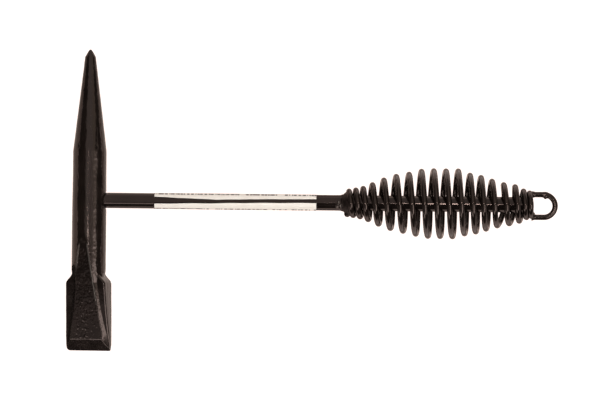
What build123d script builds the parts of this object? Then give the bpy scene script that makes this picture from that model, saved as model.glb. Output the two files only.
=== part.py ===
from build123d import *
import os
from math import atan2, cos, degrees, pi, sin, sqrt

# Welder's chipping hammer with a coil-spring grip, lying on its side. Millimetres.
# +X runs along the handle from the head towards the hanging loop, +Y is the pick side of the
# head, +Z is up. The origin is the middle of the spring grip, on the handle's axis.

# ---- driving dimensions ----
ROD_RADIUS = 4.75            # 3/8 in bar
WIRE_RADIUS = 1.5875         # 1/8 in wire, for the spring and the hanging loop
HEAD_X = -213.0              # the head's axis

BODY_RADIUS = 10.25
PICK_TIP_Y = 91.9
PICK_TIP_RADIUS = 0.4
PICK_BEVEL_Y = 87.4
PICK_BEVEL_RADIUS = 3.0
PICK_BASE_Y = 30.0

CHISEL_TURN = 20.0           # the blade is turned this far about the head's axis, in degrees
WEDGE_TOP_Y = -26.0          # where the flattened front and back faces begin
BLADE_TOP_Y = -50.0
SHARPENING_Y = -84.9
EDGE_Y = -91.8
WEDGE_BOTTOM_HALF = 3.65     # half thickness at the sharpening line
EDGE_HALF = 0.35             # half thickness of the cutting edge
SHOULDER_TOP_Y = -43.5
SHOULDER_HALF_WIDTH = 9.3
RUNOUT_Y = -62.0             # where the round body has disappeared into the blade
RUNOUT_RADIUS = 6.0

EYE_CHAMFER = 0.9            # at the handle's side of the eye
PLUG_DEPTH = 3.2             # the plug weld fills the far end of the eye
PLUG_MOUTH_RADIUS = 6.4

ROD_END_X = 56.5
ROD_CHAMFER = 0.6

FIRST_TURN, LAST_TURN, MIDDLE_TURN = -0.55, 17.6, 8.6
SPRING_MIDDLE_X = 0.7
HALF_TURNS = 9.0
PITCH_MIDDLE, PITCH_END, PITCH_POWER = 7.45, 2.1, 3.5
COIL_RADIUS_MIDDLE, COIL_RADIUS_END, BARREL_HALF_TURNS = 19.4, 6.85, 9.3
KNOTS_PER_TURN = 4           # each stretch between two knots is two tangent arcs

FRONT_WELD_START_X = -61.5
FRONT_WELD_END_X = -55.0
FRONT_WELD_RADIUS = 8.1
REAR_WELD_X = (52.9, 56.9)
REAR_WELD_RADIUS = 6.7

LOOP_START_X = 58.9
LOOP_ARC_X = 64.2
LOOP_HALF_WIDTH = 6.92       # from the loop's middle line to the wire's centre
LOOP_MIDDLE_Y = -0.55
LOOP_WELD_RADIUS = 1.5
LOOP_WELD_START_X = 57.3

LABEL_X = (-173.3, -74.6)
LABEL_THICKNESS = 0.25
LABEL_GAP_DEG = 26.0         # the strip of bare rod between the label's long edges
LABEL_GAP_CENTRE_DEG = 5.0   # turned from +Z towards +Y


# ---- head ----
def wedge_half(y):
    """Half thickness between the two flattened faces at a height on the head."""
    slope = (BODY_RADIUS - WEDGE_BOTTOM_HALF) / (WEDGE_TOP_Y - SHARPENING_Y)
    return WEDGE_BOTTOM_HALF + slope * (y - SHARPENING_Y)


def outside_plane(y1, z1, y2, z2, side):
    """Everything outside a plane along X through two points, on the front or the back."""
    reach = 60
    slope = (z1 - z2) / (y1 - y2)
    above, below = y1 + 0.5 * reach, EDGE_Y - 5
    corners = [
        (below, z2 + slope * (below - y2)), (above, z2 + slope * (above - y2)),
        (above, z1 + reach), (below, z1 + reach),
    ]
    outline = Polyline([(0, y, side * z) for y, z in corners], close=True)
    return extrude(make_face(outline), amount=reach, dir=(1, 0, 0), both=True)


def blade_section(y, half_width, ridge_foot, ridge_top, half_thickness):
    """Twelve-sided section: a flat blade with a raised ridge on its front and back."""
    quarter = [(half_width, half_thickness), (ridge_foot, half_thickness), (ridge_top, wedge_half(y))]
    front = quarter + [(-x, z) for x, z in reversed(quarter)]
    outline = front + [(x, -z) for x, z in reversed(front)]
    return make_face(Polyline([(x, y, z) for x, z in outline], close=True))


def make_head():
    profile = [
        (0, PICK_TIP_Y), (PICK_TIP_RADIUS, PICK_TIP_Y - 0.3), (PICK_BEVEL_RADIUS, PICK_BEVEL_Y),
        (BODY_RADIUS, PICK_BASE_Y), (BODY_RADIUS, BLADE_TOP_Y), (RUNOUT_RADIUS, RUNOUT_Y), (0, RUNOUT_Y),
    ]
    body = revolve(make_face(Polyline([(x, y, 0) for x, y in profile], close=True)), axis=Axis.Y)

    blade = loft([
        blade_section(BLADE_TOP_Y, half_width=12.75, ridge_foot=7.4, ridge_top=6.3, half_thickness=5.5),
        blade_section(EDGE_Y, half_width=13.4, ridge_foot=13.1, ridge_top=10.5, half_thickness=1.75),
    ], ruled=True)
    shoulder_outline = [
        (-SHOULDER_HALF_WIDTH, SHOULDER_TOP_Y), (SHOULDER_HALF_WIDTH, SHOULDER_TOP_Y),
        (12.75, BLADE_TOP_Y), (-12.75, BLADE_TOP_Y),
    ]
    shoulders = extrude(make_face(Polyline([(x, y, 0) for x, y in shoulder_outline], close=True)),
                        amount=5.5, dir=(0, 0, 1), both=True)

    head = body + shoulders + blade
    for side in (1, -1):
        head -= outside_plane(WEDGE_TOP_Y, BODY_RADIUS, SHARPENING_Y, WEDGE_BOTTOM_HALF, side)
        head -= outside_plane(SHARPENING_Y, WEDGE_BOTTOM_HALF, EDGE_Y, EDGE_HALF, side)
    head = Rot(0, -CHISEL_TURN, 0) * head

    eye = extrude(Plane.YZ * Circle(ROD_RADIUS), amount=2 * BODY_RADIUS, both=True)
    mouth = along_x([(BODY_RADIUS - 2 * EYE_CHAMFER, 0), (BODY_RADIUS - 2 * EYE_CHAMFER, ROD_RADIUS),
                     (BODY_RADIUS + 0.2, ROD_RADIUS + 1.1 * EYE_CHAMFER), (BODY_RADIUS + 0.2, 0)])
    return Pos(HEAD_X, 0, 0) * (head - eye - mouth - plug_blank())


def along_x(profile):
    """Solid of revolution about X from a list of (x, radius)."""
    return revolve(make_face(Polyline([(x, radius, 0) for x, radius in profile], close=True)), axis=Axis.X)


def plug_blank():
    start = PLUG_DEPTH - BODY_RADIUS
    return along_x([(start, 0), (start, ROD_RADIUS), (-BODY_RADIUS, PLUG_MOUTH_RADIUS), (-BODY_RADIUS, 0)])


def make_plug_weld():
    """Weld metal that closes the far end of the eye, ground flush with the round body."""
    body = extrude(Plane.XZ * Circle(BODY_RADIUS), amount=20, both=True)
    return Pos(HEAD_X, 0, 0) * (plug_blank() & body)


# ---- handle ----
def make_rod():
    start = HEAD_X - BODY_RADIUS + PLUG_DEPTH
    return along_x([(start, 0), (start, ROD_RADIUS), (ROD_END_X - ROD_CHAMFER, ROD_RADIUS),
                    (ROD_END_X, ROD_RADIUS - ROD_CHAMFER), (ROD_END_X, 0)])


def make_label():
    first, last = LABEL_X
    strip = make_face(Polyline([
        (first, ROD_RADIUS, 0), (last, ROD_RADIUS, 0),
        (last, ROD_RADIUS + LABEL_THICKNESS, 0), (first, ROD_RADIUS + LABEL_THICKNESS, 0),
    ], close=True))
    start = 90 - LABEL_GAP_CENTRE_DEG + LABEL_GAP_DEG / 2
    return Rot(start, 0, 0) * revolve(strip, axis=Axis.X, revolution_arc=360 - LABEL_GAP_DEG)


# ---- spring grip ----
def coil_point(turn):
    """Centre of the spring wire. The barrel is a raised cosine and the pitch closes at both ends."""
    along = (turn - MIDDLE_TURN) / HALF_TURNS
    closing = (PITCH_MIDDLE - PITCH_END) * abs(along) ** (PITCH_POWER + 1) / (PITCH_POWER + 1)
    x = SPRING_MIDDLE_X + HALF_TURNS * (PITCH_MIDDLE * along - (closing if along > 0 else -closing))
    swell = 0.5 + 0.5 * cos(pi * (turn - MIDDLE_TURN) / BARREL_HALF_TURNS)
    radius = COIL_RADIUS_END + (COIL_RADIUS_MIDDLE - COIL_RADIUS_END) * swell
    return Vector(x, radius * cos(2 * pi * turn), radius * sin(2 * pi * turn))


def coil_direction(turn):
    return (coil_point(turn + 1e-4) - coil_point(turn - 1e-4)).normalized()


def joint_of_two_arcs(start, leaving, end, arriving):
    """The point where two arcs meet that join start to end with the given directions."""
    span = end - start
    a = 2 * (leaving.dot(arriving) - 1)
    b = -2 * span.dot(leaving + arriving)
    reach = (-b - sqrt(b * b - 4 * a * span.dot(span))) / (2 * a)
    return ((start + leaving * reach) + (end - arriving * reach)) / 2


def wire_coil(first, last):
    """Spring wire between two turns: a chain of tangent torus segments, closed by two flat ends."""
    count = round((last - first) * KNOTS_PER_TURN)
    knots = [first + (last - first) * k / count for k in range(count + 1)]
    points = [coil_point(knots[0])]
    for here, there in zip(knots, knots[1:]):
        points.append(joint_of_two_arcs(coil_point(here), coil_direction(here),
                                        coil_point(there), coil_direction(there)))
        points.append(coil_point(there))

    plane = Plane(points[0], z_dir=coil_direction(first))
    walls, length = [], 0
    caps = [Face(Wire.make_circle(WIRE_RADIUS, plane))]
    for start, end in zip(points, points[1:]):
        chord = end - start
        inward = (chord - plane.z_dir * chord.dot(plane.z_dir)).normalized()
        radius = chord.dot(chord) / (2 * chord.dot(inward))
        angle = 2 * degrees(atan2(chord.dot(inward), chord.dot(plane.z_dir)))
        axis = Axis(start + inward * radius, plane.z_dir.cross(inward))
        segment = Solid.revolve(Face(Wire.make_circle(WIRE_RADIUS, plane)), angle, axis)
        walls += [face for face in segment.faces() if face.geom_type == GeomType.TORUS]
        turning = Axis((0, 0, 0), axis.direction)
        plane = Plane(end, x_dir=plane.x_dir.rotate(turning, angle), z_dir=plane.z_dir.rotate(turning, angle))
        length += radius * angle * pi / 180
    caps.append(Face(Wire.make_circle(WIRE_RADIUS, plane)))
    return Solid(Shell(walls + caps)), length


# ---- welds and hanging loop ----
def make_front_weld(wire):
    cone = along_x([(FRONT_WELD_START_X, ROD_RADIUS), (FRONT_WELD_END_X, FRONT_WELD_RADIUS),
                    (FRONT_WELD_END_X, ROD_RADIUS)])
    return cone - wire


def make_rear_weld(wire):
    first, last = REAR_WELD_X
    end = ROD_END_X - ROD_CHAMFER
    ring = along_x([(first, ROD_RADIUS), (first + 0.9, REAR_WELD_RADIUS), (last - 0.9, REAR_WELD_RADIUS),
                    (last, ROD_RADIUS - ROD_CHAMFER), (ROD_END_X, ROD_RADIUS - ROD_CHAMFER), (end, ROD_RADIUS)])
    return ring - wire


def make_loop():
    """Wire bent to a U, its two legs square against the last turn of the spring."""
    section = Pos(LOOP_ARC_X, LOOP_MIDDLE_Y - LOOP_HALF_WIDTH, 0) * (Plane.YZ * Circle(WIRE_RADIUS))
    bend = Solid.revolve(section.face(), 180, Axis((LOOP_ARC_X, LOOP_MIDDLE_Y, 0), (0, 0, 1)))
    loop = bend
    for side in (1, -1):
        foot = Pos(LOOP_START_X, LOOP_MIDDLE_Y + side * LOOP_HALF_WIDTH, 0) * (Plane.YZ * Circle(WIRE_RADIUS))
        loop += extrude(foot, amount=LOOP_ARC_X - LOOP_START_X, dir=(1, 0, 0))
    return loop


def make_loop_welds(wire):
    welds = []
    for side in (1, -1):
        foot = Plane.YZ * Circle(LOOP_WELD_RADIUS)
        foot = Pos(LOOP_WELD_START_X, LOOP_MIDDLE_Y + side * LOOP_HALF_WIDTH, 0) * foot
        bead = extrude(foot, amount=LOOP_START_X - LOOP_WELD_START_X, dir=(1, 0, 0)) - wire
        welds.append(max(bead.solids(), key=lambda solid: solid.volume))
    return Compound(children=welds)


spring, spring_length = wire_coil(FIRST_TURN, LAST_TURN)
print("spring wire length", round(spring_length, 1), "volume over section x length",
      round(spring.volume / (pi * WIRE_RADIUS ** 2 * spring_length), 5))
front_turns, _ = wire_coil(FIRST_TURN, FIRST_TURN + 2)
rear_turns, _ = wire_coil(LAST_TURN - 2.5, LAST_TURN)

parts = {
    "chipping_head": make_head(),
    "eye_plug_weld": make_plug_weld(),
    "handle_rod": make_rod(),
    "paper_label": make_label(),
    "spring_grip": spring,
    "front_spring_weld": make_front_weld(front_turns),
    "rear_spring_weld": make_rear_weld(rear_turns),
    "hanging_loop": make_loop(),
    "loop_welds": make_loop_welds(rear_turns),
}

os.makedirs("parts", exist_ok=True)
for name, shape in parts.items():
    export_step(shape, "parts/" + name + ".step")
    print(name, len(shape.solids()), "solid(s)", round(shape.volume, 1), "mm3")
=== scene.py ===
"""Looks for the chipping hammer: forged head, bar, paper label, spring grip, welds, hanging loop.

Lengths are in millimetres until a mesh is made. The frame's X runs along the handle, Y towards the
pick, and the camera looks straight down -Z at the hammer lying on its side.
"""

import math

import bpy
import numpy as np
from mathutils import Matrix, Vector, noise


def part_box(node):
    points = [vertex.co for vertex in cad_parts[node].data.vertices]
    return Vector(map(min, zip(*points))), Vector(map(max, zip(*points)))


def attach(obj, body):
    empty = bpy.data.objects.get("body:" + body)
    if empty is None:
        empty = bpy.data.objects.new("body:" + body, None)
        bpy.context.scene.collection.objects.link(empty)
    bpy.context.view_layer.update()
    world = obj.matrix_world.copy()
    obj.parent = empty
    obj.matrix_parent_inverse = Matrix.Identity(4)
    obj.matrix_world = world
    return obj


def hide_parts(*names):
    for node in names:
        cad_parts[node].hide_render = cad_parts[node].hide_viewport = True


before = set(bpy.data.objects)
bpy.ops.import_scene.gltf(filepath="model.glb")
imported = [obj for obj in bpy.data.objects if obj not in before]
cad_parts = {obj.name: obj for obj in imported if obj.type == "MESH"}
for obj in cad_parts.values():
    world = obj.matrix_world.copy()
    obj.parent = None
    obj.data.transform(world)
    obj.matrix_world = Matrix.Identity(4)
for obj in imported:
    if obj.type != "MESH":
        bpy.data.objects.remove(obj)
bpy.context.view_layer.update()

MM = 0.001
ROOT = "root"


def box_mm(node):
    """Lowest and highest corner of a CAD node, in millimetres."""
    low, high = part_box(node)
    return np.array(low) / MM, np.array(high) / MM


# ---------------------------------------------------------------- meshes
def fractal(points, scale, octaves=3, offset=0.0):
    """Perlin noise, about -1 to 1, at each point; scale is the size of its lumps in millimetres."""
    shift = Vector((offset, -offset, 2 * offset))
    flat = points.reshape(-1, 3) / scale
    values = [noise.fractal(Vector(p) + shift, 1.0, 2.0, octaves) for p in flat]
    return np.array(values).reshape(points.shape[:-1])


def smoothstep(low, high, value):
    """0 up to low, 1 from high on, and a smooth S between them."""
    t = np.clip((value - low) / (high - low), 0.0, 1.0)
    return t * t * (3 - 2 * t)


def make_object(name, vertices, faces, material, uvs=None):
    """Smooth-shaded object from vertices in millimetres; uvs is one pair per vertex."""
    mesh = bpy.data.meshes.new(name)
    mesh.from_pydata((np.asarray(vertices) * MM).tolist(), [], faces)
    if uvs is not None:
        layer = mesh.uv_layers.new(name="surface")
        corners = np.empty(len(mesh.loops), dtype=np.int32)
        mesh.loops.foreach_get("vertex_index", corners)
        layer.data.foreach_set("uv", np.asarray(uvs)[corners].astype(np.float32).ravel())
    mesh.polygons.foreach_set("use_smooth", np.ones(len(mesh.polygons), dtype=bool))
    mesh.update()
    mesh.materials.append(material)
    piece = bpy.data.objects.new(name, mesh)
    bpy.context.scene.collection.objects.link(piece)
    return piece


def closed_tube(rings, first=0):
    """Vertices and faces of a tube through rings (rings x around x 3), each end closed by a fan."""
    count, around = rings.shape[:2]
    centres = [rings[0].mean(axis=0).tolist(), rings[-1].mean(axis=0).tolist()]
    vertices = rings.reshape(-1, 3).tolist() + centres
    first_centre, last_centre = first + count * around, first + count * around + 1
    faces = []
    for i in range(count - 1):
        here, there = first + i * around, first + (i + 1) * around
        for j in range(around):
            k = (j + 1) % around
            faces.append((here + j, here + k, there + k, there + j))
    last = first + (count - 1) * around
    for j in range(around):
        k = (j + 1) % around
        faces.append((first_centre, first + k, first + j))
        faces.append((last_centre, last + j, last + k))
    return vertices, faces


def ring_tube(name, rings, material):
    """Object whose surface is the closed tube through the rings."""
    vertices, faces = closed_tube(rings)
    return make_object(name, vertices, faces, material)


def transported_frames(path):
    """Two normals at each point of a path, carried along it without twist."""
    tangents = np.gradient(path, axis=0)
    tangents /= np.linalg.norm(tangents, axis=1, keepdims=True)
    start = np.array([0.0, 0.0, 1.0]) if abs(tangents[0][2]) < 0.9 else np.array([0.0, 1.0, 0.0])
    normal = start - tangents[0] * start.dot(tangents[0])
    normals = [normal / np.linalg.norm(normal)]
    for tangent in tangents[1:]:
        normal = normals[-1] - tangent * normals[-1].dot(tangent)
        normals.append(normal / np.linalg.norm(normal))
    normals = np.array(normals)
    return normals, np.cross(tangents, normals)


def swept_wire(path, radii, around):
    """Rings of a round wire along a path; radii is one number per point or one per ring point."""
    normals, binormals = transported_frames(path)
    angles = np.linspace(0, 2 * math.pi, around, endpoint=False)
    cosines, sines = np.cos(angles)[None, :, None], np.sin(angles)[None, :, None]
    circle = normals[:, None] * cosines + binormals[:, None] * sines
    radii = np.broadcast_to(radii, (len(path), around))
    return path[:, None] + circle * radii[:, :, None]


def smooth_curve(at, places, values):
    """Value that eases from one chosen place to the next."""
    at = np.asarray(at, dtype=float)
    step = np.clip(np.searchsorted(places, at, side="right") - 1, 0, len(places) - 2)
    places, values = np.array(places, dtype=float), np.array(values, dtype=float)
    t = np.clip((at - places[step]) / (places[step + 1] - places[step]), 0, 1)
    return values[step] + (values[step + 1] - values[step]) * (0.5 - 0.5 * np.cos(math.pi * t))


def raise_spots(rings, spots):
    """Push a tube's skin outward by each (centre, height, size) spot."""
    outward = rings - rings.mean(axis=1, keepdims=True)
    outward /= np.maximum(np.linalg.norm(outward, axis=2, keepdims=True), 1e-6)
    lift = np.zeros(rings.shape[:2])
    for centre, height, size in spots:
        away = np.linalg.norm(rings - np.array(centre), axis=2) / size
        lift += height * np.exp(-0.5 * away ** 2)
    return rings + outward * lift[..., None]


def add_layer(piece, name, values):
    """Give a ring tube's material one number per point of its rings; the two end centres get 0."""
    layer = piece.data.attributes.new(name, "FLOAT", "POINT")
    layer.data.foreach_set("value", np.append(values, [0.0, 0.0]).astype(np.float32))


def stand_for(piece, slot, *nodes):
    """Put a piece on the part's body in place of CAD nodes; slot is not used."""
    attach(piece, ROOT)
    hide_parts(*nodes)


# ---------------------------------------------------------------- materials
class Nodes:
    """Small helper that adds and links shader nodes of one material."""

    def __init__(self, name):
        self.material = bpy.data.materials.new(name)
        self.material.use_nodes = True
        self.tree = self.material.node_tree
        self.shader = self.tree.nodes["Principled BSDF"]

    def add(self, kind, inputs=None, **settings):
        """New node; an input is either a socket to link or a value."""
        node = self.tree.nodes.new(kind)
        for key, value in settings.items():
            setattr(node, key, value)
        for socket, value in (inputs or {}).items():
            if isinstance(value, bpy.types.NodeSocket):
                self.tree.links.new(value, node.inputs[socket])
            else:
                node.inputs[socket].default_value = value
        return node

    def noise(self, where, scale, detail):
        """Noise of about 0 to 1 with that many lumps per unit of where."""
        node = self.add("ShaderNodeTexNoise", {"Vector": where, "Scale": scale, "Detail": detail,
                                               "Roughness": 0.55})
        return node.outputs["Fac"]

    def ramp(self, factor, low, high, low_colour, high_colour):
        """Colour that goes from one to the other while factor goes from low to high."""
        node = self.add("ShaderNodeValToRGB", {"Fac": factor})
        node.color_ramp.elements[0].position = low
        node.color_ramp.elements[0].color = (*low_colour, 1)
        node.color_ramp.elements[1].position = high
        node.color_ramp.elements[1].color = (*high_colour, 1)
        return node.outputs["Color"]

    def math(self, operation, a, b=None):
        """One operation on one or two numbers."""
        inputs = {0: a} if b is None else {0: a, 1: b}
        return self.add("ShaderNodeMath", inputs, operation=operation).outputs[0]

    def remap(self, value, low, high, to_low, to_high):
        """Number that goes from to_low to to_high while value goes from low to high."""
        node = self.add("ShaderNodeMapRange", {"Value": value, "From Min": low, "From Max": high,
                                               "To Min": to_low, "To Max": to_high})
        return node.outputs["Result"]

    def bump(self, height, distance, below=None):
        """Normal of a relief of that height in metres, on top of the normal below."""
        inputs = {"Height": height, "Distance": distance}
        if below is not None:
            inputs["Normal"] = below
        return self.add("ShaderNodeBump", inputs).outputs["Normal"]

    def attribute(self, name):
        """Number that the mesh stores at each point."""
        return self.add("ShaderNodeAttribute", attribute_name=name).outputs["Fac"]

    def mixed(self, factor, colour, other):
        """Colour socket that goes to the other, fixed colour as factor goes from 0 to 1."""
        node = self.add("ShaderNodeMix", {"Factor": factor}, data_type="RGBA")
        self.tree.links.new(colour, node.inputs[6])
        node.inputs[7].default_value = (*other, 1)
        return node.outputs[2]

    def link(self, socket, value):
        """Drive one of the shader's own sockets."""
        self.tree.links.new(value, self.shader.inputs[socket])


ENAMEL_TINT = (1.0, 0.74, 0.65, 1.0)
ENAMEL_BLACK, ENAMEL_BROWN = (0.0030, 0.0020, 0.0016), (0.0065, 0.0042, 0.0034)
# Grey of thin enamel: partly real wear, partly a painted highlight on edges and spatter.
WORN_AND_HIGHLIGHT_GREY = (0.30, 0.26, 0.23)
PAPER_CREAM, PAPER_WHITE = (0.71, 0.645, 0.575), (0.755, 0.70, 0.635)
INK_GREY = (0.08, 0.07, 0.065)


def enamel(name, lump_size, lump_height, peel_size, peel_height, rough_low, rough_high,
           coat=0.0, worn_and_painted_light=False):
    """Glossy black enamel, slightly brown, that follows the metal under it. Sizes in millimetres.

    Asked to, it reads two numbers that some pieces carry at each point. One makes it thin and grey:
    partly real wear, partly a painted highlight along the head's facet lips and on weld spatter.
    The other makes it matt and dark: painted shade in the head's groove, dents and eye mouth,
    and a duller, darker front weld cone.
    """
    n = Nodes(name)
    where = n.add("ShaderNodeTexCoord").outputs["Object"]
    per_metre = 1 / MM
    patches = n.noise(where, per_metre / 9, detail=3)
    lumps = n.noise(where, per_metre / lump_size, detail=3)
    peel = n.noise(where, per_metre / peel_size, detail=2)
    colour = n.ramp(patches, 0.3, 0.7, ENAMEL_BLACK, ENAMEL_BROWN)
    gloss = n.remap(patches, 0.3, 0.7, rough_low, rough_high)
    if worn_and_painted_light:
        # Thin grey enamel: partly real wear, partly a painted highlight.
        colour = n.mixed(n.attribute("worn_and_highlight"), colour, WORN_AND_HIGHLIGHT_GREY)
        # Matt and almost unreflecting: painted shade in the head's hollows, and a duller front weld
        # cone.
        painted_shade_and_dull = n.attribute("painted_shade_and_dull")
        gloss = n.math("MAXIMUM", gloss, n.math("MULTIPLY", painted_shade_and_dull, 0.75))
        n.link("Specular IOR Level", n.remap(painted_shade_and_dull, 0.0, 1.0, 0.5, 0.03))
    n.link("Base Color", colour)
    n.link("Roughness", gloss)
    coarse = n.bump(lumps, lump_height * MM)
    n.link("Normal", n.bump(peel, peel_height * MM, below=coarse))
    n.shader.inputs["Specular Tint"].default_value = ENAMEL_TINT
    n.shader.inputs["Coat Weight"].default_value = coat
    n.shader.inputs["Coat Roughness"].default_value = 0.06
    return n.material


def label_paper():
    """Warm white coated paper with rows of small grey marks that stand for print."""
    n = Nodes("label_paper")
    coordinates = n.add("ShaderNodeTexCoord")
    where = coordinates.outputs["Object"]
    paper_white = n.ramp(n.noise(where, 180.0, detail=5), 0.3, 0.7, PAPER_CREAM, PAPER_WHITE)
    split = n.add("ShaderNodeSeparateXYZ", {"Vector": coordinates.outputs["UV"]})
    along, around = split.outputs["X"], split.outputs["Y"]
    first_row, row_pitch, inked_part = 5.15 * MM, 3.18 * MM, 0.46
    rows = n.math("DIVIDE", n.math("SUBTRACT", around, first_row - 0.5 * row_pitch), row_pitch)
    row = n.math("FLOOR", rows)
    in_row = n.math("LESS_THAN", n.math("ABSOLUTE", n.math("SUBTRACT", n.math("FRACT", rows), 0.5)),
                    0.5 * inked_part)
    shifted = n.math("MULTIPLY", row, 0.37)
    place = n.add("ShaderNodeCombineXYZ", {"X": along, "Y": shifted}).outputs["Vector"]
    strokes = n.math("GREATER_THAN", n.noise(place, 750.0, detail=1), 0.48)
    words = n.math("GREATER_THAN", n.noise(place, 130.0, detail=1), 0.38)
    middle_row, half_rows = 3.0, 3.5
    from_middle = n.math("ABSOLUTE", n.math("SUBTRACT", row, middle_row))
    printed_rows = n.math("LESS_THAN", from_middle, half_rows)
    ink = n.math("MULTIPLY", n.math("MULTIPLY", strokes, words),
                 n.math("MULTIPLY", in_row, printed_rows))
    n.link("Base Color", n.mixed(ink, paper_white, INK_GREY))
    n.shader.inputs["Roughness"].default_value = 0.45
    n.link("Normal", n.bump(n.noise(where, 2500.0, detail=3), 0.02 * MM))
    return n.material


head_enamel = enamel("head_enamel", lump_size=2.2, lump_height=0.04, peel_size=0.70,
                     peel_height=0.022, rough_low=0.12, rough_high=0.18, coat=0.10, worn_and_painted_light=True)
handle_enamel = enamel("handle_enamel", lump_size=6.0, lump_height=0.02, peel_size=0.60,
                       peel_height=0.002, rough_low=0.07, rough_high=0.11)
weld_enamel = enamel("weld_enamel", lump_size=1.8, lump_height=0.03, peel_size=0.60,
                     peel_height=0.004, rough_low=0.08, rough_high=0.13, worn_and_painted_light=True)
paper = label_paper()

# ---------------------------------------------------------------- head
head_low, head_high = box_mm("chipping_head")
HEAD_X = 0.5 * (head_low[0] + head_high[0])
PICK_TIP_Y, EDGE_Y = head_high[1], head_low[1]
BODY_RADIUS = head_high[2]
CHISEL_TURN = math.radians(20)

PICK_BEVEL_Y, PICK_BEVEL_RADIUS, PICK_BASE_Y = 87.4, 3.3, 30.0
PICK_END_RADIUS = 0.5
PICK_LEAN = 0.25
BODY_SWELL = 0.22
EYE_MOUTH_RADIUS = 5.65
WEDGE_TOP_Y, BLADE_TOP_Y, SHARPENING_Y = -26.0, -50.0, -84.9
SHOULDER_TOP_Y, RIDGE_SIDES_TOP_Y = -44.4, -47.0
WORN_HIGHLIGHT_TO_Y_RAISED, WORN_HIGHLIGHT_TO_Y_LOW = -61.0, -40.0
WEDGE_TOP_HALF, WEDGE_BOTTOM_HALF, EDGE_HALF = 10.0, 3.65, 0.35
WEDGE_SLOPE, WEDGE_RUNOUT = 1.95, 0.10
BLADE_TOP_HALF_WIDTH, BLADE_HALF_WIDTH, BLADE_FLARE = 8.8, 12.75, 0.65
CHAMFER_LEAN, CHAMFER_CUT = math.radians(36), 0.55
LIP_HEIGHT, GROOVE_DEPTH, DENT_DEPTH = 0.17, 0.12, 0.20
BLADE_HEIGHTS = [EDGE_Y, -81.6, -78.0, -73.1, -68.2, -63.3, -58.4, -53.5, BLADE_TOP_Y]
RAISED_SIDE = {"thickness": [1.2, 2.1, 2.9, 3.8, 4.7, 5.35, 5.85, 6.3, 6.5],
               "foot": [14.4, 13.2, 12.4, 11.4, 10.6, 9.7, 9.0, 8.3, 7.9],
               "top": [11.0, 10.25, 9.75, 8.85, 8.35, 7.6, 7.0, 6.4, 5.65]}
LOW_SIDE = {"thickness": [1.75, 2.7, 3.1, 3.5, 3.9, 4.3, 4.8, 5.2, 5.5],
            "foot": [13.6, 12.0, 11.3, 10.4, 9.6, 9.0, 8.2, 7.4, 6.9],
            "top": [11.1, 9.95, 9.2, 8.2, 7.2, 6.3, 5.7, 5.25, 5.1]}


def round_radius(y):
    """Radius of the turned part: blunt point, pick cone, straight body."""
    blunt = np.clip((PICK_TIP_Y - y) / (PICK_TIP_Y - PICK_BEVEL_Y), 0, 1)
    if y > PICK_BEVEL_Y:
        return PICK_END_RADIUS + (PICK_BEVEL_RADIUS - PICK_END_RADIUS) * blunt ** 0.85
    swell = BODY_SWELL * smoothstep(20, -10, y)
    return swell + np.interp(y, [PICK_BASE_Y, PICK_BEVEL_Y], [BODY_RADIUS, PICK_BEVEL_RADIUS])


def ridge_height(y):
    """Height of the forged facet above the head's axis."""
    sink = np.maximum(WEDGE_TOP_Y - y, 0) / (WEDGE_TOP_Y - SHARPENING_Y)
    runout = WEDGE_RUNOUT * np.maximum(y - WEDGE_TOP_Y, 0)
    bow = WEDGE_TOP_HALF - WEDGE_BOTTOM_HALF - WEDGE_SLOPE
    return WEDGE_TOP_HALF + runout - WEDGE_SLOPE * sink - bow * sink * sink


def blade_width(y):
    """Half width of the blade, with its flare below the shoulder."""
    down = (BLADE_TOP_Y - y) / (BLADE_TOP_Y - EDGE_Y)
    flare = smoothstep(SHOULDER_TOP_Y, BLADE_TOP_Y - 0.9, y)
    widened = BLADE_TOP_HALF_WIDTH + (BLADE_HALF_WIDTH - BLADE_TOP_HALF_WIDTH) * flare
    return widened + BLADE_FLARE * np.clip(down / 0.8, 0, 1)


def blade_corners(y, raised):
    """Half thickness, ridge foot and ridge top of the blade's section, on either side."""
    sides = [[np.interp(y, BLADE_HEIGHTS, side[part]) for part in ("thickness", "foot", "top")]
             for side in (RAISED_SIDE, LOW_SIDE)]
    return [np.where(raised, high, low) for high, low in zip(*sides)]


def facet_edge(y, raised):
    """Half width of the forged facet: the chord of the round body, then the ridge's top."""
    on_round = np.sqrt(np.maximum(BODY_RADIUS ** 2 - ridge_height(y) ** 2, 0.01))
    return np.where(y > RIDGE_SIDES_TOP_Y, on_round, blade_corners(y, raised)[2])


def soft_min(a, b, blend):
    """The smaller of two distances, rounded over where they are within blend of each other."""
    h = np.clip(0.5 + 0.5 * (b - a) / blend, 0, 1)
    return b + (a - b) * h - blend * h * (1 - h)


def rounded_corner(y, radius):
    """How far the cutting edge's corner of that radius draws in at this height."""
    inside = np.clip(radius - (y - EDGE_Y), 0, radius)
    return radius - math.sqrt(radius ** 2 - inside ** 2)


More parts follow.
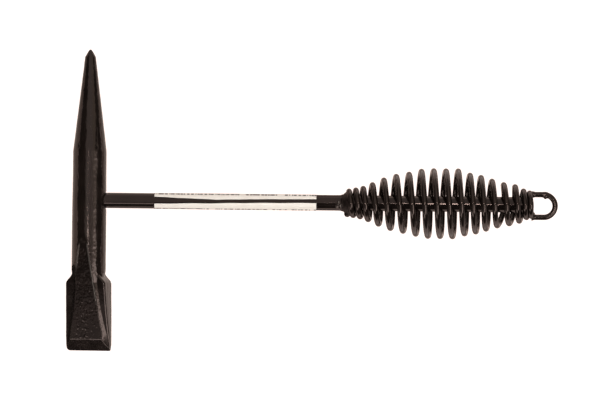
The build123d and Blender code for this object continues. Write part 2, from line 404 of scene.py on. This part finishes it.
def head_section(y, across, up):
    """Distance from the head's axis to its surface, in the unit direction (across, up)."""
    radius = np.full_like(across, round_radius(y))
    if y > WEDGE_TOP_Y + 8:
        return radius
    tiny = 1e-6
    c, s = np.abs(across) + tiny, np.abs(up) + tiny
    raised = across * up > 0
    width, ridge = blade_width(y), ridge_height(y)
    thickness, foot, top = blade_corners(y, raised)
    side_x, side_z = ridge - thickness, foot - top
    ridge_side = (side_x * top + side_z * ridge) / (side_x * c + side_z * s)
    cut = ridge_side - radius
    runout = np.where(cut < 0, 8 + 5 * smoothstep(0.6, 0.8, s), 8)
    body = radius + cut * smoothstep(BLADE_TOP_Y + runout, BLADE_TOP_Y - 3, y)
    bevel = EDGE_HALF + (y - EDGE_Y) * (WEDGE_BOTTOM_HALF - EDGE_HALF) / (SHARPENING_Y - EDGE_Y)
    body = soft_min(body, soft_min(ridge, bevel, 0.12) / s, 0.10)
    down = np.clip((BLADE_TOP_Y - y) / (BLADE_TOP_Y - EDGE_Y), 0, 1)
    wider_side = np.where(across > 0, 0.2 + 1.1 * down, 0.0)
    width = width + wider_side * smoothstep(SHOULDER_TOP_Y, BLADE_TOP_Y, y)
    if y < SHOULDER_TOP_Y:
        blade = soft_min(width / c, thickness / s, 0.4)
        lean_sin, lean_cos = math.sin(CHAMFER_LEAN), math.cos(CHAMFER_LEAN)
        reach = lean_sin * width + lean_cos * thickness - CHAMFER_CUT
        chamfer = reach / (lean_sin * c + lean_cos * s)
        chamfered = soft_min(soft_min(thickness / s, chamfer, 0.2), width / c, 0.8)
        blade = np.where(raised, chamfered, blade)
        body = soft_min(body, np.maximum(width, BODY_RADIUS) / c, 0.3)
        body = -soft_min(-body, -blade, 0.15)
    if y < SHARPENING_Y:
        body = soft_min(body, bevel / s, 0.10)
        corner = np.where(across < 0, rounded_corner(y, 1.9), rounded_corner(y, 0.6))
        body = np.minimum(body, (width - corner) / c)
    return body


def section_directions(y):
    """Directions at which the section is sampled, packed so that its corners are kept."""
    y = np.clip(y, EDGE_Y, BLADE_TOP_Y)
    width, ridge = blade_width(y), ridge_height(y)
    quarters = []
    for raised in (True, False):
        thickness, foot, top = [float(v) for v in blade_corners(y, raised)]
        height = ridge
        if y < SHARPENING_Y:
            height = np.interp(y, [EDGE_Y, SHARPENING_Y], [EDGE_HALF, WEDGE_BOTTOM_HALF])
            thickness = min(thickness, height)
        corners = [(width, 0), (width, thickness), (foot, thickness), (top, height), (0, height)]
        quarter = []
        for (x1, z1), (x2, z2), steps in zip(corners, corners[1:], (14, 18, 16, 26)):
            t = np.arange(steps) / steps
            quarter.append(np.stack([x1 + (x2 - x1) * t, z1 + (z2 - z1) * t], axis=1))
        quarters.append(np.vstack(quarter))
    right, left = quarters
    half = np.vstack([right, [[0.0, ridge]], left[:0:-1] * [-1, 1]])
    ring = np.vstack([half, half * [-1, -1]])
    return ring / np.linalg.norm(ring, axis=1, keepdims=True)


def facet_mask(rings):
    """1 on the two forged facets of the wedge, 0 on the round body, ridge sides and blade."""
    y, height = rings[..., 1], np.abs(rings[..., 2])
    on_plane = smoothstep(0.35, 0.05, ridge_height(y) - height)
    return on_plane * smoothstep(WEDGE_TOP_Y, WEDGE_TOP_Y - 5, y) * smoothstep(
        SHARPENING_Y - 0.2, SHARPENING_Y + 0.8, y)


def lip_line(rings):
    """1 along both edges of the facets, fading to 0 within half a millimetre."""
    x, y, z = rings[..., 0], rings[..., 1], rings[..., 2]
    off_edge = np.abs(x) - facet_edge(y, x * z > 0)
    below_top = smoothstep(WEDGE_TOP_Y + 0.5, WEDGE_TOP_Y - 2, y)
    on_wedge = below_top * smoothstep(SHARPENING_Y, SHARPENING_Y + 1, y)
    near_facet = smoothstep(1.2, 0.6, ridge_height(y) - np.abs(z))
    return np.exp(-0.5 * ((off_edge - 0.15) / 0.24) ** 2) * on_wedge * near_facet


def forging_marks(rings):
    """Relief of the forged skin: long lumps all over, creases and pits on the facets."""
    y = rings[..., 1]
    facet = facet_mask(rings)
    ground = smoothstep(SHARPENING_Y - 0.6, SHARPENING_Y + 0.2, y)
    lumps = 0.05 * fractal(rings * np.array([1, 0.4, 1]), 4.5, 3, 3.1)
    blade = smoothstep(BLADE_TOP_Y + 4, BLADE_TOP_Y - 4, y) * (1 - facet)
    orange_peel = 0.048 * fractal(rings * [1, 0.8, 1], 1.4, 2, 23.3)
    orange_peel = orange_peel * (1 - 0.8 * facet) * (1 - 0.8 * blade)
    creases = -0.20 * np.abs(fractal(rings * [1.2, 0.85, 1], 2.2, 2, 7.7)) + 0.06
    pits = 0.045 * fractal(rings, 1.0, 2, 11.3)
    nicks = 0.04 * fractal(rings, 2.0, 2, 17.9) * blade
    fade = smoothstep(PICK_TIP_Y, PICK_TIP_Y - 8, y) * smoothstep(EDGE_Y, EDGE_Y + 2, y)
    relief = lumps + orange_peel * ground + (creases + pits) * facet + nicks * ground
    return (relief + LIP_HEIGHT * lip_line(rings)) * fade


def forging_laps(rings):
    """Masks of the groove and of the two dents at the pick's root, on the +Z side only."""
    x, y, z = rings[..., 0], rings[..., 1], rings[..., 2]
    front = z > 0
    broken = np.clip(0.75 + 0.9 * fractal(rings * [0, 1, 0], 2.2, 1, 5.1), 0.2, 1.2)
    groove = np.exp(-0.5 * ((x - 4.3) / 0.32) ** 2) * smoothstep(31, 33, y) * smoothstep(49, 41, y)
    groove = groove * broken
    dent = np.exp(-0.5 * (((x - 4.4) / 0.65) ** 2 + ((y - 32.0) / 0.9) ** 2))
    left_dent = np.exp(-0.5 * (((x + 6.6) / 0.6) ** 2 + ((y - 33.0) / 1.1) ** 2))
    return np.where(front, groove, 0.0), np.where(front, np.maximum(dent, 0.7 * left_dent), 0.0)


def eye_mouth(rings):
    """Lift, 0 or less, that countersinks the head round the bar, on the grip's side."""
    x, y, z = rings[..., 0], rings[..., 1], rings[..., 2]
    from_bar = np.hypot(y, z)
    return np.where(x > 0, -np.clip(EYE_MOUTH_RADIUS - from_bar, 0, 2.0), 0.0)


def ring_heights():
    """Y of the head's rings, from the cutting edge to the pick's tip, closest at the details."""
    stops = [EDGE_Y, SHARPENING_Y - 1, SHARPENING_Y + 1, WEDGE_TOP_Y, -8, 8, PICK_BASE_Y,
             PICK_BEVEL_Y]
    counts = [24, 17, 210, 45, 60, 60, 130]
    spans = [np.linspace(a, b, count)[:-1] for a, b, count in zip(stops, stops[1:], counts)]
    return np.concatenate(spans + [np.linspace(PICK_BEVEL_Y, PICK_TIP_Y, 18)])


def outward_from_axis(rings):
    """Unit direction away from the head's axis at each point."""
    outward = rings * [1, 0, 1]
    return outward / np.maximum(np.linalg.norm(outward, axis=2, keepdims=True), 1e-6)


def make_head():
    """Forged head: sections stacked along Y, forging marks, then the turn about the axis."""
    rings = []
    for y in ring_heights():
        across, up = section_directions(y).T
        reach = head_section(y, across, up)
        rings.append(np.stack([across * reach, np.full(len(reach), y), up * reach], axis=1))
    rings = np.array(rings)
    raised = rings[..., 0] * rings[..., 2] > 0
    fade_y = np.where(raised, WORN_HIGHLIGHT_TO_Y_RAISED, WORN_HIGHLIGHT_TO_Y_LOW)
    # Grey along the facet lips: partly worn enamel, partly a painted highlight where the edges
    # catch the light.
    worn_and_highlight = 0.2 * lip_line(rings) * smoothstep(fade_y - 3, fade_y + 3, rings[..., 1])
    rings = rings + outward_from_axis(rings) * forging_marks(rings)[..., None]

    turned, turn_cos, turn_sin = rings.copy(), math.cos(CHISEL_TURN), math.sin(CHISEL_TURN)
    turned[..., 0] = rings[..., 0] * turn_cos - rings[..., 2] * turn_sin
    turned[..., 2] = rings[..., 0] * turn_sin + rings[..., 2] * turn_cos
    groove, dents = forging_laps(turned)
    mouth = eye_mouth(turned)
    lift = mouth - GROOVE_DEPTH * groove - DENT_DEPTH * dents
    turned = turned + outward_from_axis(turned) * lift[..., None]
    up_the_pick = np.clip((turned[..., 1] - PICK_BASE_Y) / (PICK_TIP_Y - PICK_BASE_Y), 0, 1)
    turned[..., 0] += HEAD_X - PICK_LEAN * up_the_pick
    piece = ring_tube("forged_head", turned[:, ::-1], head_enamel)
    # Painted shade: the groove, the dents and the eye mouth round the bar are dulled to near black.
    painted_shade_and_dull = np.clip(np.maximum(1.1 * groove, 1.3 * dents) - 2.0 * mouth, 0, 1)[:, ::-1].ravel()
    add_layer(piece, "painted_shade_and_dull", painted_shade_and_dull)
    add_layer(piece, "worn_and_highlight", worn_and_highlight[:, ::-1].ravel())
    stand_for(piece, "head_enamel", "chipping_head")


def make_eye_plug():
    """Weld that fills the far end of the eye, ground almost flush with the round body."""
    low, high = box_mm("eye_plug_weld")
    mouth = 0.5 * (high[1] - low[1])
    radii = np.linspace(0.02, 1.0, 26) * mouth
    around = 96
    angles = np.linspace(0, 2 * math.pi, around, endpoint=False)
    y = radii[:, None] * np.cos(angles)
    arc = radii[:, None] * np.sin(angles) / BODY_RADIUS
    skin = np.stack([y, arc, np.zeros_like(y)], axis=2)
    ripple = 0.05 * fractal(skin * [1, BODY_RADIUS, 1], 1.6, 3, 2.2) + 0.03 * np.sin(5.5 * y)
    dome = 0.16 * (1 - (radii / mouth) ** 6)[:, None] - 0.06
    outer = BODY_RADIUS + dome + ripple * (1 - (radii / mouth) ** 8)[:, None]
    inner = np.full_like(outer, BODY_RADIUS - 1.2)
    outside, inside = (np.stack([HEAD_X - r * np.cos(arc), y, r * np.sin(arc)], axis=2)
                       for r in (outer, inner))
    closed = np.concatenate([outside, inside[::-1]])
    stand_for(ring_tube("eye_plug_bead", closed, weld_enamel), "weld_enamel", "eye_plug_weld")


# ---------------------------------------------------------------- bar
ROD_END_X, ROD_RADIUS, _ = box_mm("handle_rod")[1]


def lathe_rings(profile, around, centre=(0.0, 0.0)):
    """Rings about X from a list of (x, radius)."""
    angles = np.linspace(0, 2 * math.pi, around, endpoint=False)
    y, z = np.cos(angles), np.sin(angles)
    return np.array([np.stack([np.full(around, x), centre[0] + r * y, centre[1] + r * z], axis=1)
                     for x, r in profile])


def make_rod():
    """Round bar from inside the head to the rear weld, with slightly wavy paint."""
    start = HEAD_X + 0.6 * BODY_RADIUS
    profile = [(x, ROD_RADIUS) for x in np.linspace(start, ROD_END_X - 0.6, 560)]
    profile += [(ROD_END_X - 0.25, ROD_RADIUS - 0.15), (ROD_END_X, ROD_RADIUS - 0.6)]
    rings = lathe_rings(profile, 64)
    wave = 0.015 * fractal(rings * np.array([0.3, 1, 1]), 6.0, 2, 1.3)
    rings[..., 1:] *= (1 + wave / ROD_RADIUS)[..., None]
    stand_for(ring_tube("enamelled_bar", rings, handle_enamel), "handle_enamel", "handle_rod")


# ---------------------------------------------------------------- label
label_low, label_high = box_mm("paper_label")
LABEL_THICKNESS = 0.12
LABEL_PLACES = [0, 0.15, 0.38, 0.6, 0.75, 1]
UPPER_EDGE_DEGREES = [31, 24, 14, 19, 22, 24]
LOWER_EDGE_DEGREES = [-20, -16, -12, -7, -5, -3]


def label_gap(along):
    """Angles from +Z of the label's two long edges, from the head's end (0) to the grip's (1)."""
    upper = np.interp(along, LABEL_PLACES, UPPER_EDGE_DEGREES)
    lower = np.interp(along, LABEL_PLACES, LOWER_EDGE_DEGREES)
    return np.radians(upper), np.radians(lower)


def make_label():
    """Strip of paper wrapped round the bar; its long edges lift a little on each side of a gap."""
    first, last = label_low[0], label_high[0]
    columns, rows = 240, 90
    along = np.linspace(0, 1, columns)
    upper, lower = label_gap(along)
    upper = upper + np.radians(1.0) * np.sin(along * 37) * np.sin(along * 11)
    lower = lower + np.radians(0.8) * np.sin(along * 29 + 1)
    across = np.linspace(0, 1, rows)
    angles = upper[:, None] + (2 * math.pi + lower - upper)[:, None] * across[None, :]
    x = first + (last - first) * along
    near_edge = np.minimum(across, 1 - across)
    edge_lift, uneven = 0.25 * np.exp(-near_edge / 0.04), 0.6 + 0.4 * np.sin(along * 23)
    lift = 0.10 + edge_lift[None, :] * uneven[:, None]
    grid_x = np.repeat(x[:, None], rows, 1)
    radius = ROD_RADIUS + lift

    def skin(r):
        """Points of the strip at that distance from the bar's axis."""
        return np.stack([grid_x, r * np.sin(angles), r * np.cos(angles)], axis=2)

    wrinkle = 0.05 * fractal(skin(radius), 5.0, 2, 4.4)
    inner = skin(radius + wrinkle).reshape(-1, 3)
    outer = skin(radius + wrinkle + LABEL_THICKNESS).reshape(-1, 3)
    vertices = np.vstack([outer, inner])
    uv = np.stack([grid_x, angles * ROD_RADIUS], axis=2).reshape(-1, 2) * MM
    offset = columns * rows
    faces = []
    for i in range(columns - 1):
        for j in range(rows - 1):
            a, b = i * rows + j, (i + 1) * rows + j
            c, d = b + 1, a + 1
            faces.append((a, b, c, d))
            faces.append((offset + d, offset + c, offset + b, offset + a))
    for i in range(columns - 1):
        for j, flip in ((0, False), (rows - 1, True)):
            a, b = i * rows + j, (i + 1) * rows + j
            quad = (a, offset + a, offset + b, b)
            faces.append(quad[::-1] if flip else quad)
    for j in range(rows - 1):
        for i, flip in ((0, True), (columns - 1, False)):
            a, b = i * rows + j, i * rows + j + 1
            quad = (a, offset + a, offset + b, b)
            faces.append(quad[::-1] if flip else quad)
    piece = make_object("wrapped_label", vertices, faces, paper, np.vstack([uv, uv]))
    stand_for(piece, "label_paper", "paper_label")


# ---------------------------------------------------------------- spring
SPRING_LOW_Z = box_mm("spring_grip")[0][2]
WIRE_RADIUS = 1.5875
PAINTED_WIRE_RADIUS, PAINTED_LOOP_RADIUS = 1.75, 1.70
FIRST_TURN, LAST_TURN, MIDDLE_TURN = -0.55, 17.6, 8.6
SPRING_MIDDLE_X = 0.7
HALF_TURNS = 9.0
PITCH_MIDDLE, PITCH_END, PITCH_POWER = 7.45, 2.1, 3.5
COIL_RADIUS_MIDDLE, COIL_RADIUS_END, BARREL_HALF_TURNS = 19.4, 6.85, 9.3
DRIFT_TURNS = [-0.5, 0.7, 3.0, 7.0, 10.2, 13.2, 15.3, 17.0]
DRIFT_X = [-0.3, 0.45, -0.70, 0.60, 0.65, -0.60, 0.55, 0.05]
OPEN_LOOP_TURNS = [13.5, 13.75, 14.0, 14.5, 14.75, 15.0]
OPEN_LOOP_X = [0, 2.3, 0, 0, 1.4, 0]
BULGE_TURNS = [-0.5, 0.5, 2.0, 4.7, 6.0, 7.0, 8.5, 9.0, 10.0, 10.6, 12.0, 13.5, 15.2, 16.2, 17.2]
BULGE_RADIUS = [0.1, 0.1, -0.4, 1.0, 0.5, 1.0, 0.5, 0.5, 1.2, -0.1, 0.4, 0.3, 1.3, 0.1, 0.0]


def coil(turns):
    """Centre of the spring wire, with the small unevenness of winding."""
    along = (turns - MIDDLE_TURN) / HALF_TURNS
    closing = (PITCH_MIDDLE - PITCH_END) * np.abs(along) ** (PITCH_POWER + 1) / (PITCH_POWER + 1)
    x = SPRING_MIDDLE_X + HALF_TURNS * (PITCH_MIDDLE * along - np.sign(along) * closing)
    drift = smooth_curve(turns, DRIFT_TURNS, DRIFT_X)
    low_side = 0.5 - 0.5 * np.cos(2 * math.pi * turns)
    kink = (0.02 - 0.06 * smoothstep(0.3, 0.7, low_side)) * PITCH_MIDDLE
    x = x - kink * np.sin(4 * math.pi * turns)
    lean = 0.6 * smoothstep(13, 11, turns) * low_side ** 2
    swell = 0.5 + 0.5 * np.cos(math.pi * (turns - MIDDLE_TURN) / BARREL_HALF_TURNS)
    radius = COIL_RADIUS_END + (COIL_RADIUS_MIDDLE - COIL_RADIUS_END) * swell
    radius = radius + smooth_curve(turns, BULGE_TURNS, BULGE_RADIUS)
    drift = drift + smooth_curve(turns, OPEN_LOOP_TURNS, OPEN_LOOP_X)
    angle = 2 * math.pi * turns
    middle_y = 0.18 * smoothstep(3, 5, turns) * smoothstep(14, 12.5, turns)
    y, z = middle_y + radius * np.cos(angle), radius * np.sin(angle)
    return np.stack([x + drift + lean, y, z], axis=1)


def make_spring():
    """Coil-spring grip: one wire wound to a barrel, as thick as its paint makes it."""
    turns = np.linspace(FIRST_TURN, LAST_TURN, int((LAST_TURN - FIRST_TURN) * 72))
    path = coil(turns)
    rings = swept_wire(path, PAINTED_WIRE_RADIUS, 24)
    stand_for(ring_tube("spring_grip_wire", rings, handle_enamel), "handle_enamel", "spring_grip")


# ---------------------------------------------------------------- loop
loop_low, loop_high = box_mm("hanging_loop")
LOOP_MIDDLE_Y = 0.5 * (loop_low[1] + loop_high[1])
LOOP_HALF_WIDTH = 0.5 * (loop_high[1] - loop_low[1]) - WIRE_RADIUS


def make_loop():
    """Hanging loop: two legs and a half circle of wire, with a drip of paint inside the bend."""
    middle_y, half_width = LOOP_MIDDLE_Y, LOOP_HALF_WIDTH
    arc_x = loop_high[0] - WIRE_RADIUS - half_width
    legs = np.linspace(loop_low[0], arc_x, 24)[:-1]
    bend = np.linspace(math.pi / 2, -math.pi / 2, 110)
    path = np.array(
        [(x, middle_y + half_width, 0) for x in legs]
        + [(arc_x + half_width * math.cos(a), middle_y + half_width * math.sin(a), 0) for a in bend]
        + [(x, middle_y - half_width, 0) for x in legs[::-1]])
    rings = swept_wire(path, PAINTED_LOOP_RADIUS, 36)
    nib_x, top_y = arc_x + 0.9, middle_y + half_width
    rings = raise_spots(rings, [((nib_x, top_y - WIRE_RADIUS, 0.3), 1.15, 0.75),
                                ((nib_x + 0.3, top_y + WIRE_RADIUS, 0.2), 0.18, 0.9)])
    stand_for(ring_tube("hanging_loop_wire", rings, handle_enamel), "handle_enamel", "hanging_loop")


# ---------------------------------------------------------------- welds
def spatter(count, seed, x_range, radius_range, angle_range, heights, sizes):
    """Random spots on a tube about X; angles are from +Y towards +Z."""
    rng = np.random.default_rng(seed)
    spots = []
    for _ in range(count):
        x, r = rng.uniform(*x_range), rng.uniform(*radius_range)
        angle = rng.uniform(*angle_range)
        centre = (x, r * math.cos(angle), r * math.sin(angle))
        spots.append((centre, rng.uniform(*heights), rng.uniform(*sizes)))
    return spots


FRONT_WELD_X = [-63.2, -62.6, -60.2, -58.3, -57.0, -56.2, -55.0, -53.0]
FRONT_WELD_SWELL = [-0.08, 0.03, 0.06, 0.50, 1.60, 2.40, 3.15, 3.35]


def make_front_weld():
    """Cone of weld metal from the bar up to the first crest, with spatter round its foot."""
    high = box_mm("front_spring_weld")[1]
    xs = np.linspace(FRONT_WELD_X[0], high[0] + 1.4, 110)
    swell = smooth_curve(xs, FRONT_WELD_X, FRONT_WELD_SWELL)
    rings = lathe_rings(list(zip(xs, ROD_RADIUS + swell)), 128)
    lumps = 0.13 * fractal(rings, 3.0, 3, 5.5)
    rings[..., 1:] *= (1 + lumps * smoothstep(-59.5, -57.5, xs)[:, None] / 6.0)[..., None]
    bright = spatter(count=8, seed=9, x_range=(-62.4, -59.4), radius_range=(4.8, 5.0),
                     angle_range=(1.45, 2.1), heights=(0.35, 0.55), sizes=(0.28, 0.42))
    away = [np.linalg.norm(rings - np.array(centre), axis=2) / size for centre, _, size in bright]
    # Grey round the bright spatter: partly bare metal, partly painted glints.
    worn_and_highlight = 0.7 * np.exp(-2.0 * np.min(away, axis=0) ** 2)
    spots = spatter(count=8, seed=4, x_range=(-60.0, -56.8), radius_range=(5.0, 6.4),
                    angle_range=(0, 2 * math.pi), heights=(0.12, 0.30), sizes=(0.3, 0.5))
    piece = ring_tube("front_weld_bead", raise_spots(rings, spots + bright), weld_enamel)
    # The weld cone is made duller and darker from its middle up to the coil, except on the grey
    # spatter.
    painted_shade_and_dull = 0.5 * smoothstep(-60.5, -58.5, xs)[:, None] * (1 - worn_and_highlight)
    add_layer(piece, "worn_and_highlight", worn_and_highlight.ravel())
    add_layer(piece, "painted_shade_and_dull", painted_shade_and_dull.ravel())
    stand_for(piece, "weld_enamel", "front_spring_weld")


def make_rear_weld():
    """Lumpy weld between the bar's rear end and the last turns."""
    low, high = box_mm("rear_spring_weld")
    xs = np.linspace(low[0], high[0] + 0.6, 44)
    hump = np.sqrt(np.sin(np.linspace(0, math.pi, 44)))
    rings = lathe_rings(list(zip(xs, ROD_RADIUS - 0.3 + 2.0 * hump)), 110)
    rings[..., 1:] *= (1 + 0.5 * fractal(rings, 2.0, 3, 8.5) / 6.0)[..., None]
    spots = spatter(count=34, seed=12, x_range=(low[0] + 0.5, high[0]), radius_range=(6.0, 6.8),
                    angle_range=(0, 2 * math.pi), heights=(0.15, 0.5), sizes=(0.25, 0.5))
    rings = raise_spots(rings, spots)
    stand_for(ring_tube("rear_weld_bead", rings, weld_enamel), "weld_enamel", "rear_spring_weld")


def make_loop_welds():
    """Small flared bead round each leg of the loop where it butts on the last turn."""
    low, high = box_mm("loop_welds")
    vertices, faces = [], []
    for side, seed in ((1, 3.3), (-1, 6.1)):
        xs = np.linspace(low[0] - 0.6, high[0] + 0.7, 26)
        fade = 1 - smoothstep(low[0] + 0.3, high[0] + 0.7, xs)
        profile = [(x, WIRE_RADIUS - 0.04 + 0.42 * f) for x, f in zip(xs, fade)]
        rings = lathe_rings(profile, 48, centre=(LOOP_MIDDLE_Y + side * LOOP_HALF_WIDTH, 0.0))
        middle = rings.mean(axis=1, keepdims=True)
        ripple = 0.12 * fractal(rings, 1.3, 3, seed) * fade[:, None]
        rings = middle + (rings - middle) * (1 + ripple)[..., None]
        bead_vertices, bead_faces = closed_tube(rings, len(vertices))
        vertices += bead_vertices
        faces += bead_faces
    piece = make_object("loop_weld_beads", vertices, faces, weld_enamel)
    stand_for(piece, "weld_enamel", "loop_welds")


# ---------------------------------------------------------------- stage, light, camera
FLOOR_SLOPE = (SPRING_LOW_Z - head_low[2]) / (0.0 - HEAD_X)
FLOOR_DROP = 0.5
FLOOR_HALF_SIZE, FLOOR_PAINT, FLOOR_GLOW = 6000, 0.15, (1.20, 1.04, 0.98)
CARD_PAINT = 0.02


def floor_height(x):
    """Z of the floor, tilted because the hammer lies on the spring's belly and on the head."""
    return SPRING_LOW_Z - FLOOR_DROP + FLOOR_SLOPE * x


def flat_card(name, x_range, y_range, above_floor, glow, paint):
    """Flat grey rectangle parallel to the floor, in millimetres, with its own light."""
    corners = [(x, y, floor_height(x) + above_floor)
               for x, y in ((x_range[0], y_range[0]), (x_range[1], y_range[0]),
                            (x_range[1], y_range[1]), (x_range[0], y_range[1]))]
    mesh = bpy.data.meshes.new(name)
    mesh.from_pydata([tuple(c * MM for c in corner) for corner in corners], [], [(0, 1, 2, 3)])
    n = Nodes(name)
    n.shader.inputs["Base Color"].default_value = (paint, paint, paint, 1)
    n.shader.inputs["Roughness"].default_value = 0.9
    n.shader.inputs["Specular IOR Level"].default_value = 0.0
    n.shader.inputs["Emission Color"].default_value = (*glow, 1)
    n.shader.inputs["Emission Strength"].default_value = 1.0
    mesh.materials.append(n.material)
    card = bpy.data.objects.new(name, mesh)
    bpy.context.scene.collection.objects.link(card)
    return card


def plain_floor():
    """Pale floor, lit from below like a light table, so that it is whiter than the label."""
    side = (-FLOOR_HALF_SIZE, FLOOR_HALF_SIZE)
    flat_card("floor", side, side, 0.0, FLOOR_GLOW, FLOOR_PAINT)


def reflection_cards():
    """Cards that only reflections see: painted shade of the floor round the hammer, darkest beside
    the chisel, and one grey card above the bar; they keep the gloss enamel's edges dark.
    """
    cards = [
        # name, X, Y, height above the floor, glow
        ("handle_shade", (HEAD_X + 60, -58), (-48, 120), 0.5, (0.42, 0.31, 0.27)),
        ("spring_shade", (-58, 120), (-48, 42), 0.5, (0.50, 0.38, 0.33)),
        ("right_shade", (HEAD_X + 11, HEAD_X + 60), (-150, 150), 0.5, (0.80, 0.67, 0.60)),
        ("left_shade", (HEAD_X - 300, HEAD_X - 12), (-40, 150), 0.5, (0.66, 0.54, 0.48)),
        # Painted shadow: a near-black card beside the chisel, seen only in reflections.
        ("chisel_shadow_card", (HEAD_X - 300, HEAD_X - 13), (-160, -40), 0.5, (0.02, 0.015, 0.01)),
        ("lamp_flag", (-166, -77), (-60, 130), 500, (0.62, 0.60, 0.57)),
    ]
    for name, x_range, y_range, above_floor, glow in cards:
        card = flat_card(name, x_range, y_range, above_floor, glow, CARD_PAINT)
        for ray in ("camera", "diffuse", "shadow", "transmission"):
            setattr(card, "visible_" + ray, False)


def light_panel(name, low, high, radiance, tint=(1, 1, 1), seen_in_gloss=True):
    """Rectangular soft light between two corners, in metres.

    One that is flat in Z faces down; one that is flat in Y stands behind the hammer and faces it.
    """
    low, high = Vector(low), Vector(high)
    centre, size = (low + high) / 2, high - low
    data = bpy.data.lights.new(name, "AREA")
    data.shape = "RECTANGLE"
    light = bpy.data.objects.new(name, data)
    if size.z == 0:
        data.size, data.size_y = size.x, size.y
    else:
        data.size, data.size_y = size.x, size.z
        light.rotation_euler = (-math.pi / 2, 0, 0)
    data.energy = radiance * math.pi * data.size * data.size_y
    data.color = tint
    light.location = centre
    light.visible_glossy = seen_in_gloss
    bpy.context.scene.collection.objects.link(light)


def studio():
    """Soft boxes above and behind the hammer, brighter strips in front of it, and small lamps."""
    world = bpy.data.worlds.new("studio")
    world.use_nodes = True
    world.node_tree.nodes["Background"].inputs["Color"].default_value = (1, 0.98, 0.96, 1)
    world.node_tree.nodes["Background"].inputs["Strength"].default_value = 0.06
    bpy.context.scene.world = world
    bpy.context.scene.view_settings.view_transform = "Standard"
    z, soft, warm = 1.3, 0.62, (1, 0.96, 0.84)
    light_panel("back_box", (-0.95, 0.0, z), (0.35, 2.4, z), soft)
    light_panel("back_box_warm", (0.35, 0.0, z), (1.5, 2.4, z), soft, tint=warm)
    light_panel("back_wall", (-1.6, 2.4, 0.0), (1.6, 2.4, z), 0.6)
    light_panel("left_box", (-0.80, -0.40, z), (-0.13, 0.0, z), soft)
    light_panel("right_box", (0.14, -0.40, z), (0.40, 0.0, z), soft)
    light_panel("left_strip", (-1.8, -0.95, z), (-0.13, -0.40, z), 0.34)
    light_panel("right_strip", (0.25, -0.95, z), (1.5, -0.40, z), 4.4)
    light_panel("right_box_warm", (0.40, -0.07, z), (1.5, 0.0, z), 0.68, tint=warm)
    light_panel("ridge_strip", (0.45, -0.40, z), (1.4, -0.07, z), 4.2)
    light_panel("bevel_strip", (-2.2, -1.85, z), (-0.5, -1.04, z), 3.0)
    light_panel("bar_edge", (-0.45, -1.45, z), (-0.13, -0.97, z), 3.0)
    light_panel("lamp_glow", (-0.10, -0.07, z), (0.10, 0.08, z), 1.5)
    light_panel("lamp", (0.0, -0.02, 0.97), (0.04, 0.06, 0.97), 60, tint=(1, 0.95, 0.93))
    light_panel("second_lamp", (-0.36, -0.06, 1.0), (-0.34, -0.03, 1.0), 90, tint=(1, 0.97, 0.95))
    light_panel("fill", (-1.2, -1.2, 1.8), (1.2, 1.2, 1.8), 1.5, seen_in_gloss=False)


def camera():
    """Straight down on the hammer, with 366 mm across the image, turned by 0.62 degrees."""
    centre = Vector((-0.08454, 0.00151, 0))
    distance, view_width, roll = 6.5, 0.366, math.radians(0.62)
    data = bpy.data.cameras.new("camera")
    data.sensor_width = 36.0
    data.lens = data.sensor_width * distance / view_width
    cam = bpy.data.objects.new("camera", data)
    place = Matrix.Translation(centre + Vector((0, 0, distance)))
    cam.matrix_world = place @ Matrix.Rotation(roll, 4, "Z")
    bpy.context.scene.collection.objects.link(cam)
    bpy.context.scene.camera = cam


camera()
make_head()
make_eye_plug()
make_rod()
make_label()
make_spring()
make_loop()
make_front_weld()
make_rear_weld()
make_loop_welds()
plain_floor()
reflection_cards()
studio()
